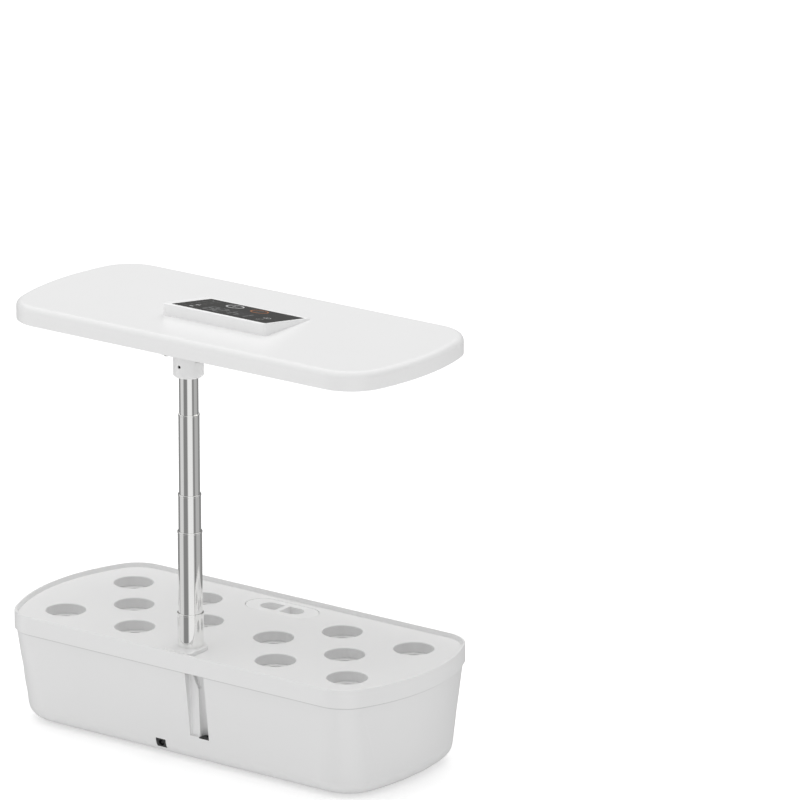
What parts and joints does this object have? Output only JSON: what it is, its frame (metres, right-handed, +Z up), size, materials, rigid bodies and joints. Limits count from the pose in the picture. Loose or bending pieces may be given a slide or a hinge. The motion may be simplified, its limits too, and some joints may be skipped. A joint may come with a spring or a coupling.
{
  "type": "countertop hydroponic garden",
  "caption": "Tabletop water garden: a tank with a lift-off deck for grow baskets, and a grow lamp with a touch panel on a telescopic pole.",
  "frame": {"origin": "on the tabletop, under the middle of the tank", "axes": "+X along the tank, +Y towards the rear with the pole and the sockets, +Z up"},
  "size_m": [0.4, 0.1788, 0.3801],
  "materials": {
    "tank_white": "moulded ABS, fine satin gloss",
    "deck_white": "moulded ABS, fine satin gloss",
    "lamp_white": "moulded ABS, satin gloss",
    "basket_white": "moulded polypropylene",
    "pole_chrome": "bright chrome plate on drawn tube",
    "black_plastic": "moulded nylon",
    "foot_rubber": "moulded rubber",
    "seal_silicone": "translucent grey silicone",
    "circuit_board": "green solder mask on glass-fibre board",
    "led_board_white": "aluminium board with white solder mask",
    "led_white": "phosphor-filled silicone in a white package",
    "led_red": "clear silicone over a deep red chip",
    "lens_clear": "clear acrylic sheet",
    "panel_dark": "dark acrylic with printed keys",
    "screw_steel": "zinc-plated steel",
    "black_steel": "blackened steel",
    "acetal": "acetal",
    "lead_black": "flexible insulated lead"
  },
  "bodies": {
    "tank": {"tank_shell": "tank_white", "bottom_cover": "tank_white", "bottom_cover_screws": "screw_steel", "rubber_feet": "foot_rubber", "dc_jack": "black_plastic", "lamp_lead_socket": "black_plastic", "power_board": "circuit_board", "power_board_parts": "black_plastic", "power_board_screws": "screw_steel", "pump_body": "black_plastic", "pump_strainer": "black_plastic", "pump_shaft": "screw_steel", "pump_suction_cups": "foot_rubber", "pump_grommet": "foot_rubber", "pump_lead": "lead_black"},
    "pump_rotor": {"pump_impeller": "acetal"},
    "deck": {"deck": "deck_white", "pole_seat": "deck_white", "pole_seat_screws": "screw_steel", "pole_tube_5": "pole_chrome", "pole_socket_plug": "acetal"},
    "filler_cap": {"filler_cap": "deck_white", "filler_cap_seal": "seal_silicone"},
    "basket_1": {"grow_basket_1": "basket_white"},
    "basket_2": {"grow_basket_2": "basket_white"},
    "basket_3": {"grow_basket_3": "basket_white"},
    "basket_4": {"grow_basket_4": "basket_white"},
    "basket_5": {"grow_basket_5": "basket_white"},
    "basket_6": {"grow_basket_6": "basket_white"},
    "basket_7": {"grow_basket_7": "basket_white"},
    "basket_8": {"grow_basket_8": "basket_white"},
    "basket_9": {"grow_basket_9": "basket_white"},
    "basket_10": {"grow_basket_10": "basket_white"},
    "basket_11": {"grow_basket_11": "basket_white"},
    "basket_12": {"grow_basket_12": "basket_white"},
    "stage_4": {"pole_tube_4": "pole_chrome", "pole_glide_4": "acetal"},
    "stage_3": {"pole_tube_3": "pole_chrome", "pole_glide_3": "acetal"},
    "stage_2": {"pole_tube_2": "pole_chrome", "pole_glide_2": "acetal"},
    "stage_1": {"pole_tube_1": "pole_chrome", "pole_glide_1": "acetal"},
    "lamp": {"lamp_collar": "lamp_white", "collar_set_screw": "black_steel", "lamp_cover": "lamp_white", "lamp_frame": "lamp_white", "lamp_lens": "lens_clear", "led_board": "led_board_white", "white_leds": "led_white", "red_leds": "led_red", "lamp_screws": "screw_steel", "control_pod": "lamp_white", "touch_panel": "panel_dark", "display_module": "black_plastic", "control_board": "circuit_board"}
  },
  "joints": [
    {"name": "deck_lift", "type": "slide", "parent": "tank", "child": "deck", "axis": [0, 0, 1], "range_m": [0, 0.1]},
    {"name": "filler_cap_lift", "type": "slide", "parent": "deck", "child": "filler_cap", "axis": [0, 0, 1], "range_m": [0, 0.04]},
    {"name": "basket_1_lift", "type": "slide", "parent": "deck", "child": "basket_1", "axis": [0, 0, 1], "range_m": [0, 0.05]},
    {"name": "basket_2_lift", "type": "slide", "parent": "deck", "child": "basket_2", "axis": [0, 0, 1], "range_m": [0, 0.05]},
    {"name": "basket_3_lift", "type": "slide", "parent": "deck", "child": "basket_3", "axis": [0, 0, 1], "range_m": [0, 0.05]},
    {"name": "basket_4_lift", "type": "slide", "parent": "deck", "child": "basket_4", "axis": [0, 0, 1], "range_m": [0, 0.05]},
    {"name": "basket_5_lift", "type": "slide", "parent": "deck", "child": "basket_5", "axis": [0, 0, 1], "range_m": [0, 0.05]},
    {"name": "basket_6_lift", "type": "slide", "parent": "deck", "child": "basket_6", "axis": [0, 0, 1], "range_m": [0, 0.05]},
    {"name": "basket_7_lift", "type": "slide", "parent": "deck", "child": "basket_7", "axis": [0, 0, 1], "range_m": [0, 0.05]},
    {"name": "basket_8_lift", "type": "slide", "parent": "deck", "child": "basket_8", "axis": [0, 0, 1], "range_m": [0, 0.05]},
    {"name": "basket_9_lift", "type": "slide", "parent": "deck", "child": "basket_9", "axis": [0, 0, 1], "range_m": [0, 0.05]},
    {"name": "basket_10_lift", "type": "slide", "parent": "deck", "child": "basket_10", "axis": [0, 0, 1], "range_m": [0, 0.05]},
    {"name": "basket_11_lift", "type": "slide", "parent": "deck", "child": "basket_11", "axis": [0, 0, 1], "range_m": [0, 0.05]},
    {"name": "basket_12_lift", "type": "slide", "parent": "deck", "child": "basket_12", "axis": [0, 0, 1], "range_m": [0, 0.05]},
    {"name": "pole_slide_4", "type": "slide", "parent": "deck", "child": "stage_4", "axis": [0, 0, 1], "range_m": [-0.0695, 0]},
    {"name": "pole_slide_3", "type": "slide", "parent": "stage_4", "child": "stage_3", "axis": [0, 0, 1], "range_m": [-0.0282, 0.039]},
    {"name": "pole_slide_2", "type": "slide", "parent": "stage_3", "child": "stage_2", "axis": [0, 0, 1], "range_m": [-0.0655, 0.0015]},
    {"name": "pole_slide_1", "type": "slide", "parent": "stage_2", "child": "stage_1", "axis": [0, 0, 1], "range_m": [-0.0305, 0.0235]},
    {"name": "lamp_swivel", "type": "hinge", "parent": "stage_1", "child": "lamp", "pos_m": [0, 0.065, 0.345], "axis": [0, 0, 1], "range_deg": [-90, 90]},
    {"name": "pump_spin", "type": "hinge", "parent": "tank", "child": "pump_rotor", "pos_m": [-0.006, -0.014, 0.0162], "axis": [0, 0, 1], "continuous": true}
  ]
}
